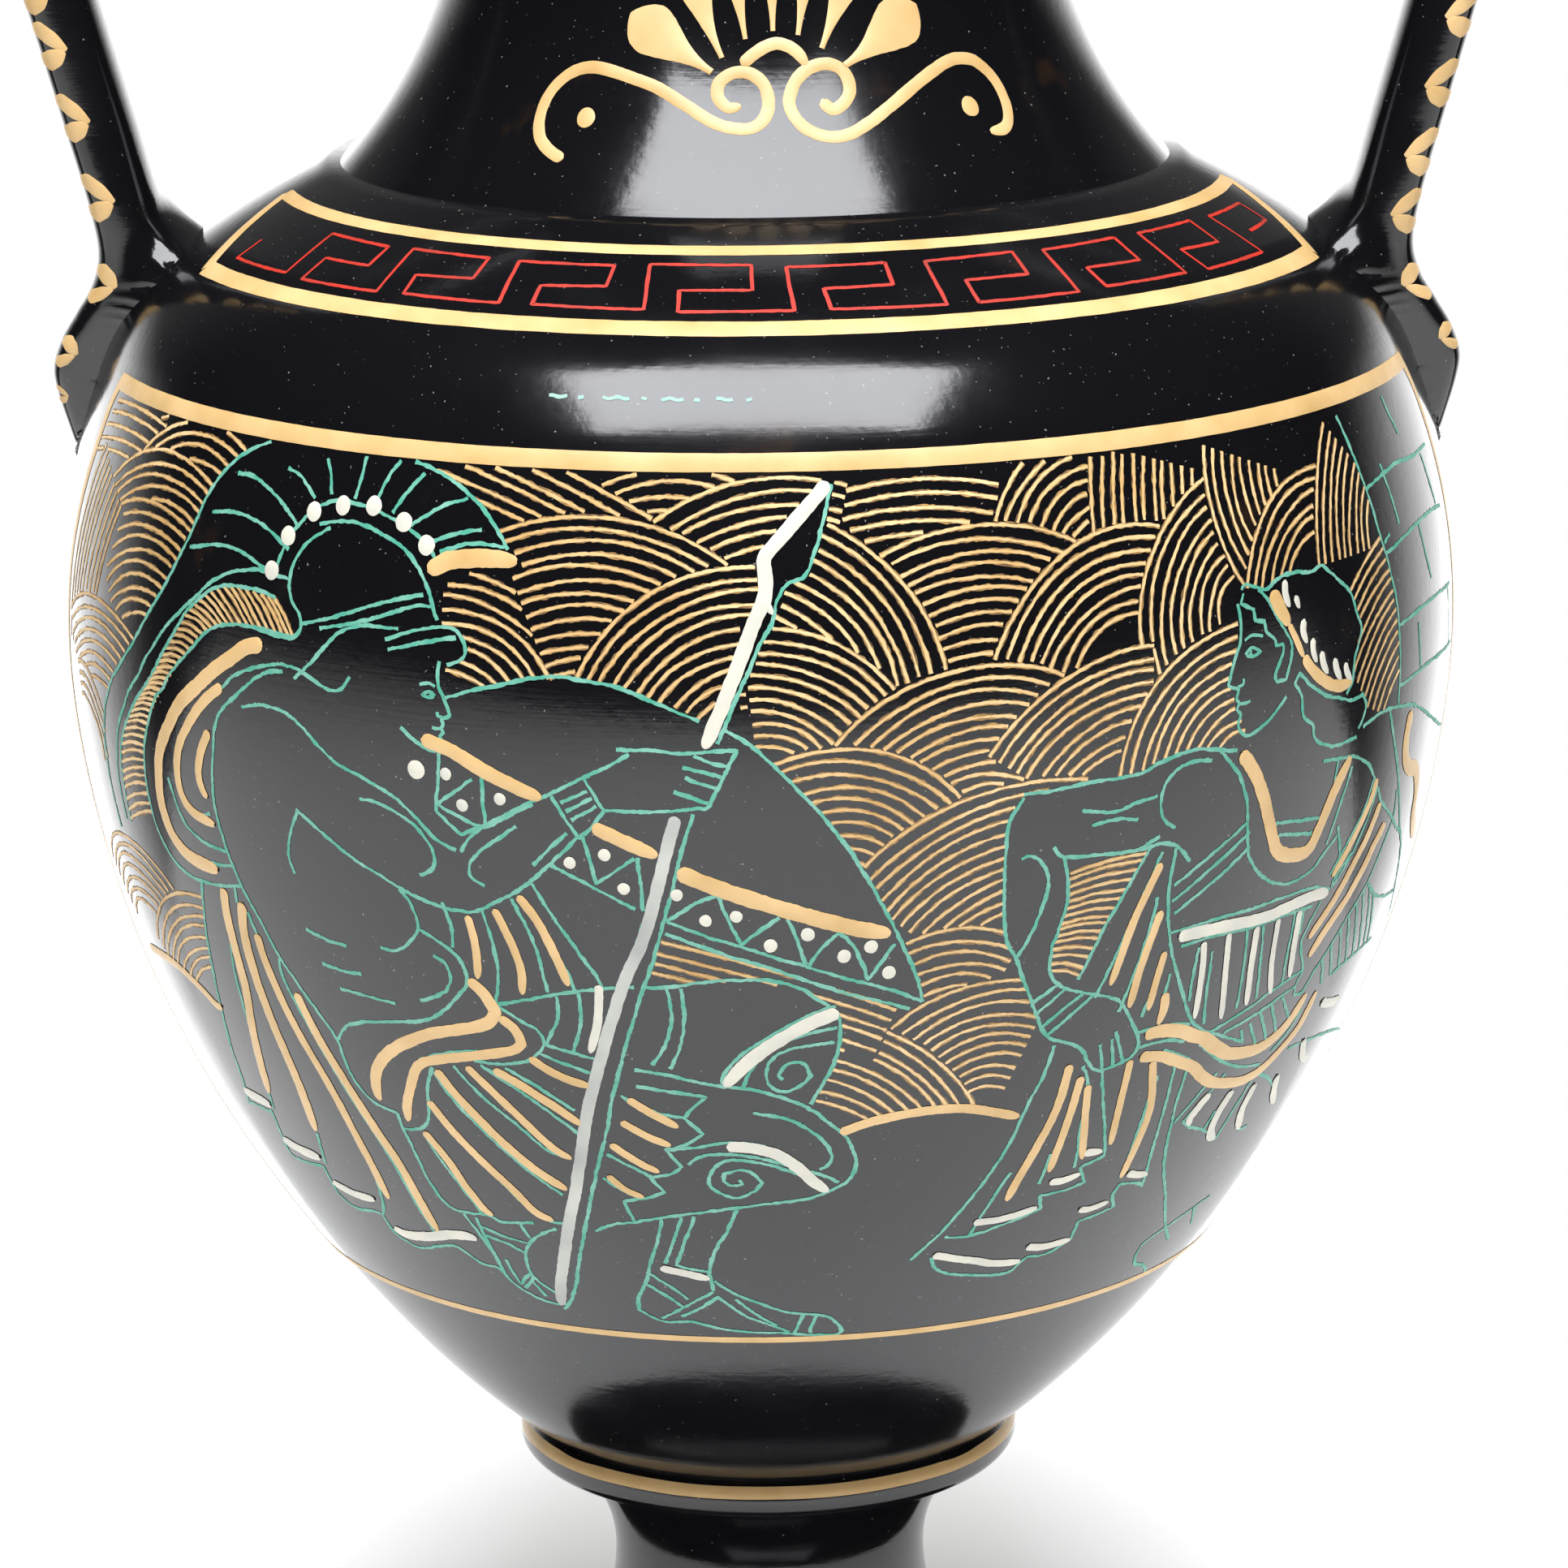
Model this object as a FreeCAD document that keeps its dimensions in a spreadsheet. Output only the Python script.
import os

import FreeCAD
import Part
import Sketcher
from FreeCAD import Placement, Rotation, Vector
from math import atan2, cos, pi, sin, sqrt, tan

doc = FreeCAD.newDocument("Amphora")
sheet = doc.addObject("Spreadsheet::Sheet", "Sizes")

# Driving sizes, in millimetres and degrees. The body's wall is a chain of arcs: each arc has its
# own radius, and each "lean" is how far the wall tilts from upright where two arcs meet.
sizes = {
    "wall": 6.0,
    "foot_radius": 50.0,
    "foot_height": 11.0,
    "foot_edge": 3.0,
    "foot_tread": 11.0,
    "foot_recess": 3.5,
    "stem_height": 36.5,
    "stem_foot_radius": 32.0,
    "stem_waist_radius": 23.0,
    "stem_waist_rise": 21.0,
    "stem_undercut": 3.0,
    "collar_height": 6.5,
    "collar_taper": 1.9,
    "collar_bead": 2.1,
    "base_radius": 35.7,
    "belly_radius": 100.0,
    "bowl_curve": 190.0,
    "side_curve": 156.0,
    "belly_curve": 105.0,
    "shoulder_curve": 31.5,
    "crown_curve": 150.0,
    "bowl_lean": 31.5,
    "side_lean": 6.5,
    "shoulder_lean": 21.1,
    "crown_lean": 56.5,
    "crease_lean": 65.3,
    "neck_wall": 5.5,
    "neck_curve": 70.0,
    "neck_waist": 41.3,
    "neck_waist_rise": 46.5,
    "neck_height": 84.0,
    "lip_height": 13.0,
    "lip_radius": 62.0,
    "lip_round": 3.5,
    "lip_width": 8.5,
    "strap_width": 25.0,
    "strap_thick": 10.5,
    "strap_corner": 3.0,
    "strap_lean": 15.6,
    "strap_start_out": 9.6,
    "strap_start_rise": 10.0,
    "strap_rise": 42.0,
    "strap_bend": 24.0,
    "root_rise": 16.5,
    "root_depth": 13.0,
    "root_corner": 3.0,
    "flare_rise": 6.5,
    "flare_out": 13.6,
    "flare_width": 29.0,
    "waist_rise": -0.5,
    "waist_out": 12.4,
    "waist_width": 27.0,
    "knob_rise": -19.5,
    "knob_out": 19.9,
    "knob_width": 16.0,
    "tail_rise": -33.0,
    "tail_out": 16.8,
    "tail_width": 7.0,
}

# Sizes that follow from them, worked out by the sheet from the foot upwards
derived = {
    "tread_radius": "foot_radius - foot_tread",
    "foot_flat_radius": "foot_radius - foot_edge",
    "foot_edge_level": "foot_height - foot_edge",
    "stem_waist_level": "foot_height + stem_waist_rise",
    "stem_top": "foot_height + stem_height",
    "collar_foot_radius": "base_radius - collar_taper",
    "stem_top_radius": "collar_foot_radius - stem_undercut",
    "stem_low_curve": "((stem_foot_radius - stem_waist_radius) ^ 2 + stem_waist_rise ^ 2)"
                      " / (2 * (stem_foot_radius - stem_waist_radius))",
    "stem_high_curve": "((stem_top_radius - stem_waist_radius) ^ 2 + (stem_top - stem_waist_level) ^ 2)"
                       " / (2 * (stem_top_radius - stem_waist_radius))",
    "collar_top": "stem_top + collar_height",
    "collar_curve": "((collar_taper ^ 2 + collar_height ^ 2) / 4 + collar_bead ^ 2) / (2 * collar_bead)",
    "belly_centre": "belly_radius - belly_curve",
    "side_radius": "belly_centre + belly_curve * cos(side_lean * 1deg)",
    "bowl_radius": "side_radius - side_curve * (cos(side_lean * 1deg) - cos(bowl_lean * 1deg))",
    "base_lean": "acos((base_radius - bowl_radius) / bowl_curve + cos(bowl_lean * 1deg)) / 1deg",
    "bowl_level": "collar_top + bowl_curve * (sin(base_lean * 1deg) - sin(bowl_lean * 1deg))",
    "side_level": "bowl_level + side_curve * (sin(bowl_lean * 1deg) - sin(side_lean * 1deg))",
    "belly_level": "side_level + belly_curve * sin(side_lean * 1deg)",
    "shoulder_radius": "belly_centre + belly_curve * cos(shoulder_lean * 1deg)",
    "shoulder_level": "belly_level + belly_curve * sin(shoulder_lean * 1deg)",
    "crown_radius": "shoulder_radius - shoulder_curve * (cos(shoulder_lean * 1deg) - cos(crown_lean * 1deg))",
    "crown_level": "shoulder_level + shoulder_curve * (sin(crown_lean * 1deg) - sin(shoulder_lean * 1deg))",
    "crease_radius": "crown_radius - crown_curve * (cos(crown_lean * 1deg) - cos(crease_lean * 1deg))",
    "crease_level": "crown_level + crown_curve * (sin(crease_lean * 1deg) - sin(crown_lean * 1deg))",
    "neck_bore_curve": "neck_curve + neck_wall",
    "neck_centre": "neck_waist + neck_curve",
    "neck_top": "crease_level + neck_height",
    "neck_base_radius": "neck_centre - sqrt(neck_curve ^ 2 - neck_waist_rise ^ 2)",
    "neck_base_bore": "neck_centre - sqrt(neck_bore_curve ^ 2 - neck_waist_rise ^ 2)",
    "neck_top_radius": "neck_centre - sqrt(neck_curve ^ 2 - (neck_height - neck_waist_rise) ^ 2)",
    "neck_top_bore": "neck_centre - sqrt(neck_bore_curve ^ 2 - (neck_height - neck_waist_rise) ^ 2)",
    "lip_top": "neck_top + lip_height",
    "lip_under": "neck_top + lip_round",
    "lip_edge_level": "lip_top - lip_round",
    "lip_flat_radius": "lip_radius - lip_round",
    "lip_bore": "lip_radius - lip_width",
    "strap_start": "crown_radius + strap_start_out",
    "strap_start_level": "crown_level + strap_start_rise",
    "strap_bend_level": "strap_start_level + strap_rise",
    "top_level": "crown_level + root_rise",
    "top_centre": "strap_start + (root_rise - strap_start_rise) * tan(strap_lean * 1deg)",
    "top_depth": "strap_thick / cos(strap_lean * 1deg)",
    "top_width": "strap_width",
}

# The hollow follows the body's outside at one wall's distance
for joint, lean in (("base", "base"), ("bowl", "bowl"), ("side", "side")):
    derived[joint + "_bore"] = "%s_radius - wall * cos(%s_lean * 1deg)" % (joint, lean)
derived["base_bore_level"] = "collar_top + wall * sin(base_lean * 1deg)"
derived["bowl_bore_level"] = "bowl_level + wall * sin(bowl_lean * 1deg)"
derived["side_bore_level"] = "side_level + wall * sin(side_lean * 1deg)"
for joint in ("shoulder", "crown", "crease"):
    derived[joint + "_bore"] = "%s_radius - wall * cos(%s_lean * 1deg)" % (joint, joint)
    derived[joint + "_bore_level"] = "%s_level - wall * sin(%s_lean * 1deg)" % (joint, joint)
for arc in ("bowl", "side", "belly", "shoulder", "crown"):
    derived[arc + "_bore_curve"] = "%s_curve - wall" % arc

# Slices of a handle's root below its top, each level and outer face counted from the crown
for slice_name in ("flare", "waist", "knob", "tail"):
    derived[slice_name + "_level"] = "crown_level + %s_rise" % slice_name
    derived[slice_name + "_depth"] = "root_depth"
    derived[slice_name + "_centre"] = "crown_radius + %s_out - root_depth / 2" % slice_name

for row, (name, value) in enumerate(list(sizes.items()) + list(derived.items()), start=1):
    sheet.set("A%d" % row, name)
    sheet.set("B%d" % row, str(value) if name in sizes else "=" + value)
    sheet.setAlias("B%d" % row, name)
doc.recompute()


def size(name):
    return float(getattr(sheet, name))


def bind(sketch, constraint, name):
    index = sketch.addConstraint(constraint)
    sketch.setExpression("Constraints[%d]" % index, "Sizes." + name)


def arcBetween(start, end, radius, outward):
    # the shorter arc, its centre on the axis side when it bulges outward; sketch arcs run
    # anticlockwise, so it also tells whether the arc starts at its second corner
    half = (end - start) * 0.5
    across = Vector(-half.y, half.x, 0).normalize()
    if (across.x < 0) != outward:
        across = across * -1
    centre = start + half + across * sqrt(radius ** 2 - half.Length ** 2)
    backwards = (start - centre).cross(end - centre).z < 0
    first, last = (end, start) if backwards else (start, end)
    low = atan2(first.y - centre.y, first.x - centre.x)
    high = atan2(last.y - centre.y, last.x - centre.x)
    circle = Part.Circle(centre, Vector(0, 0, 1), radius)
    return Part.ArcOfCircle(circle, low, high if high > low else high + 2 * pi), backwards


def outline(sketch, corners, arcs):
    # corners: (radius, level) names, None for zero. arcs: {edge number: (radius name, outward)}
    points = [Vector(size(r) if r else 0, size(z) if z else 0, 0) for r, z in corners]
    starts = []
    for number, start in enumerate(points):
        end = points[(number + 1) % len(points)]
        backwards = False
        if number in arcs:
            name, outward = arcs[number]
            edge, backwards = arcBetween(start, end, size(name), outward)
        else:
            edge = Part.LineSegment(start, end)
        sketch.addGeometry(edge, False)
        starts.append(2 if backwards else 1)
    for number, (radius, level) in enumerate(corners):
        after = (number + 1) % len(corners)
        sketch.addConstraint(
            Sketcher.Constraint("Coincident", number, 3 - starts[number], after, starts[after]))
        if radius:
            bind(sketch, Sketcher.Constraint("DistanceX", -1, 1, number, starts[number], size(radius)), radius)
        else:
            sketch.addConstraint(Sketcher.Constraint("PointOnObject", number, starts[number], -2))
        if level:
            bind(sketch, Sketcher.Constraint("DistanceY", -1, 1, number, starts[number], size(level)), level)
        else:
            sketch.addConstraint(Sketcher.Constraint("PointOnObject", number, starts[number], -1))
    for number, (name, outward) in arcs.items():
        bind(sketch, Sketcher.Constraint("Radius", number, size(name)), name)


def plane(body, role):
    return next(item for item in body.Origin.OriginFeatures if item.Role == role)


def turned(label, corners, arcs):
    # a body turned about the vertical axis from one closed outline
    body = doc.addObject("PartDesign::Body", label)
    body.Label = label
    sketch = body.newObject("Sketcher::SketchObject", label + "_outline")
    sketch.AttachmentSupport = (plane(body, "XZ_Plane"), [""])
    sketch.MapMode = "FlatFace"
    doc.recompute()
    outline(sketch, corners, arcs)
    spin = body.newObject("PartDesign::Revolution", label + "_turning")
    spin.Profile = sketch
    spin.ReferenceAxis = (sketch, ["V_Axis"])
    spin.Angle = 360
    body.Tip = spin
    doc.recompute()
    return body


def cutBy(label, base, tool):
    cut = doc.addObject("Part::Cut", label)
    cut.Label = label
    cut.Base = base
    cut.Tool = tool
    doc.recompute()
    return cut


def band(label, source, low, high):
    # the part of a turned wall between two levels of the sheet
    slab = doc.addObject("Part::Cylinder", label + "_slab")
    slab.setExpression("Radius", "4 * Sizes.belly_radius")
    slab.setExpression("Placement.Base.z", "Sizes." + low)
    slab.setExpression("Height", "Sizes.%s - Sizes.%s" % (high, low))
    piece = doc.addObject("Part::Common", label)
    piece.Label = label
    piece.Base = source
    piece.Tool = slab
    doc.recompute()
    return piece


# Foot, stem and collar, solid clay with a turned recess under the foot
foot = turned("foot_base", [
    (None, "foot_recess"), ("tread_radius", "foot_recess"), ("tread_radius", None),
    ("foot_flat_radius", None), ("foot_radius", "foot_edge"), ("foot_radius", "foot_edge_level"),
    ("foot_flat_radius", "foot_height"), (None, "foot_height"),
], {3: ("foot_edge", True), 5: ("foot_edge", True)})

stem = turned("stem", [
    (None, "foot_height"), ("stem_foot_radius", "foot_height"), ("stem_waist_radius", "stem_waist_level"),
    ("stem_top_radius", "stem_top"), (None, "stem_top"),
], {1: ("stem_low_curve", False), 2: ("stem_high_curve", False)})

collar = turned("collar_ring", [
    (None, "stem_top"), ("collar_foot_radius", "stem_top"), ("base_radius", "collar_top"),
    (None, "collar_top"),
], {1: ("collar_curve", True)})

# Body: the outside as one solid, the hollow as another, parted where the potter joins the sections
body_form = turned("body_form", [
    (None, "collar_top"), ("base_radius", "collar_top"), ("bowl_radius", "bowl_level"),
    ("side_radius", "side_level"), ("shoulder_radius", "shoulder_level"),
    ("crown_radius", "crown_level"), ("crease_radius", "crease_level"), (None, "crease_level"),
], {1: ("bowl_curve", True), 2: ("side_curve", True), 3: ("belly_curve", True),
    4: ("shoulder_curve", True), 5: ("crown_curve", True)})

body_hollow = turned("body_hollow", [
    (None, "base_bore_level"), ("base_bore", "base_bore_level"), ("bowl_bore", "bowl_bore_level"),
    ("side_bore", "side_bore_level"), ("shoulder_bore", "shoulder_bore_level"),
    ("crown_bore", "crown_bore_level"), ("crease_bore", "crease_bore_level"),
    ("neck_base_bore", "crease_bore_level"), ("neck_base_bore", "crease_level"),
    (None, "crease_level"),
], {1: ("bowl_bore_curve", True), 2: ("side_bore_curve", True), 3: ("belly_bore_curve", True),
    4: ("shoulder_bore_curve", True), 5: ("crown_bore_curve", True)})

body_wall = cutBy("body_wall", body_form, body_hollow)
bowl = band("body_bowl", body_wall, "collar_top", "side_level")
belly = band("body_belly", body_wall, "side_level", "shoulder_level")
shoulder = band("body_shoulder", body_wall, "shoulder_level", "crease_level")

# Neck and mouth
neck_form = turned("neck_form", [
    (None, "crease_level"), ("neck_base_radius", "crease_level"), ("neck_top_radius", "neck_top"),
    (None, "neck_top"),
], {1: ("neck_curve", False)})

neck_bore = turned("neck_bore", [
    (None, "crease_level"), ("neck_base_bore", "crease_level"), ("neck_top_bore", "neck_top"),
    (None, "neck_top"),
], {1: ("neck_bore_curve", False)})

neck = cutBy("neck", neck_form, neck_bore)

lip = turned("lip_ring", [
    ("neck_top_bore", "neck_top"), ("neck_top_radius", "neck_top"), ("lip_radius", "lip_under"),
    ("lip_radius", "lip_edge_level"), ("lip_flat_radius", "lip_top"), ("lip_bore", "lip_top"),
], {3: ("lip_round", True)})


def roundedRectangle(label, depth, width, corner):
    # sides and corners bound by name, centred on the sketch's own origin
    sketch = doc.addObject("Sketcher::SketchObject", label)
    a = size(depth) / 2
    b = size(width) / 2
    c = size(corner)
    quarter = pi / 2
    up = Vector(0, 0, 1)
    sketch.addGeometry(Part.LineSegment(Vector(a, c - b, 0), Vector(a, b - c, 0)), False)
    sketch.addGeometry(Part.ArcOfCircle(Part.Circle(Vector(a - c, b - c, 0), up, c), 0, quarter), False)
    sketch.addGeometry(Part.LineSegment(Vector(a - c, b, 0), Vector(c - a, b, 0)), False)
    sketch.addGeometry(Part.ArcOfCircle(Part.Circle(Vector(c - a, b - c, 0), up, c), quarter, pi), False)
    sketch.addGeometry(Part.LineSegment(Vector(-a, b - c, 0), Vector(-a, c - b, 0)), False)
    sketch.addGeometry(Part.ArcOfCircle(Part.Circle(Vector(c - a, c - b, 0), up, c), pi, 3 * quarter), False)
    sketch.addGeometry(Part.LineSegment(Vector(c - a, -b, 0), Vector(a - c, -b, 0)), False)
    sketch.addGeometry(Part.ArcOfCircle(Part.Circle(Vector(a - c, c - b, 0), up, c), 3 * quarter, 2 * pi), False)
    for edge in range(8):
        sketch.addConstraint(Sketcher.Constraint("Tangent", edge, 2, (edge + 1) % 8, 1))
    for edge in (0, 4):
        sketch.addConstraint(Sketcher.Constraint("Vertical", edge))
    for edge in (2, 6):
        sketch.addConstraint(Sketcher.Constraint("Horizontal", edge))
    for edge in (3, 5, 7):
        sketch.addConstraint(Sketcher.Constraint("Equal", 1, edge))
    sketch.addConstraint(Sketcher.Constraint("Symmetric", 1, 3, 5, 3, -1, 1))
    bind(sketch, Sketcher.Constraint("Radius", 1, c), corner)
    bind(sketch, Sketcher.Constraint("DistanceX", 4, 1, 0, 1, 2 * a), depth)
    bind(sketch, Sketcher.Constraint("DistanceY", 6, 1, 2, 1, 2 * b), width)
    return sketch


# Handle strap: a rounded section swept up the lean, over the bend and in to the neck
path = doc.addObject("Sketcher::SketchObject", "strap_path")
path.Placement = Placement(Vector(), Rotation(Vector(1, 0, 0), 90))
lean = sizes["strap_lean"] * pi / 180
start = Vector(size("strap_start"), size("strap_start_level"), 0)
bend = start + Vector(tan(lean), 1, 0) * size("strap_rise")
centre = bend + Vector(-cos(lean), sin(lean), 0) * size("strap_bend")
over = centre + Vector(0, size("strap_bend"), 0)
path.addGeometry(Part.LineSegment(start, bend), False)
path.addGeometry(Part.ArcOfCircle(Part.Circle(centre, Vector(0, 0, 1), size("strap_bend")), -lean, pi / 2), False)
path.addGeometry(Part.LineSegment(over, Vector(size("neck_waist"), over.y, 0)), False)
bind(path, Sketcher.Constraint("DistanceX", -1, 1, 0, 1, start.x), "strap_start")
bind(path, Sketcher.Constraint("DistanceY", -1, 1, 0, 1, start.y), "strap_start_level")
path.addConstraint(Sketcher.Constraint("Tangent", 0, 2, 1, 1))
path.addConstraint(Sketcher.Constraint("Tangent", 1, 2, 2, 1))
path.addConstraint(Sketcher.Constraint("Horizontal", 2))
bind(path, Sketcher.Constraint("Radius", 1, size("strap_bend")), "strap_bend")
bind(path, Sketcher.Constraint("DistanceY", -1, 1, 0, 2, bend.y), "strap_bend_level")
bind(path, Sketcher.Constraint("DistanceX", -1, 1, 2, 2, size("neck_waist")), "neck_waist")
turn = path.addConstraint(Sketcher.Constraint("Angle", -2, 1, 0, 1, -lean))
path.setExpression("Constraints[%d]" % turn, "-Sizes.strap_lean * 1deg")

strap_section = roundedRectangle("strap_section", "strap_thick", "strap_width", "strap_corner")
strap_section.Placement = Placement(start, Rotation(Vector(0, 1, 0), sizes["strap_lean"]))
strap_section.setExpression("Placement.Base.x", "Sizes.strap_start")
strap_section.setExpression("Placement.Base.y", "0")
strap_section.setExpression("Placement.Base.z", "Sizes.strap_start_level")
strap_section.setExpression("Placement.Rotation.Angle", "Sizes.strap_lean * 1deg")
doc.recompute()
sweep = doc.addObject("Part::Sweep", "strap_sweep")
sweep.Sections = [strap_section]
sweep.Spine = (path, ["Edge1", "Edge2", "Edge3"])
sweep.Solid = True
sweep.Frenet = False
doc.recompute()

# Handle root: a loft down from the strap's cut end, over the waist and knob to the tail's tip
slices = []
for name in ("top", "flare", "waist", "knob", "tail"):
    sketch = roundedRectangle("root_" + name, name + "_depth", name + "_width", "root_corner")
    sketch.setExpression("Placement.Base.x", "Sizes.%s_centre" % name)
    sketch.setExpression("Placement.Base.z", "Sizes.%s_level" % name)
    slices.append(sketch)
doc.recompute()
loft = doc.addObject("Part::Loft", "root_loft")
loft.Sections = slices
loft.Solid = True
loft.Ruled = False
doc.recompute()

# Cut each where it is luted on: the strap at the neck and on the root, the root on the body
below = doc.addObject("Part::Box", "below_strap")
below.setExpression("Length", "8 * Sizes.belly_radius")
below.setExpression("Width", "8 * Sizes.belly_radius")
below.setExpression("Placement.Base.x", "-4 * Sizes.belly_radius")
below.setExpression("Placement.Base.y", "-4 * Sizes.belly_radius")
below.setExpression("Height", "Sizes.top_level")
strap_upper = cutBy("strap_upper", sweep, below)
handle_right = cutBy("handle_right", strap_upper, neck_form)
root_right = cutBy("handle_root_right", loft, body_form)


def mirrored(label, source):
    # the same piece on the other side of the axis
    twin = doc.addObject("Part::Mirroring", label)
    twin.Label = label
    twin.Source = source
    twin.Normal = Vector(1, 0, 0)
    return twin


handle_left = mirrored("handle_left", handle_right)
root_left = mirrored("handle_root_left", root_right)
doc.recompute()

pieces = [foot, stem, collar, bowl, belly, shoulder, neck, lip, handle_right, root_right, handle_left, root_left]

for item in doc.Objects:
    if "Invalid" in item.State or "Error" in item.State:
        raise RuntimeError("%s is in state %s" % (item.Label, item.State))
os.makedirs("parts", exist_ok=True)
for piece in pieces:
    shape = piece.Shape
    if shape.isNull() or not shape.isValid():
        raise RuntimeError("%s has no valid shape" % piece.Label)
    shape.exportStep("parts/%s.step" % piece.Label)
    box = shape.BoundBox
    print("%-18s solids %d  %.0f mm3  x %.1f..%.1f  z %.1f..%.1f" % (
        piece.Label, len(shape.Solids), shape.Volume, box.XMin, box.XMax, box.ZMin, box.ZMax))
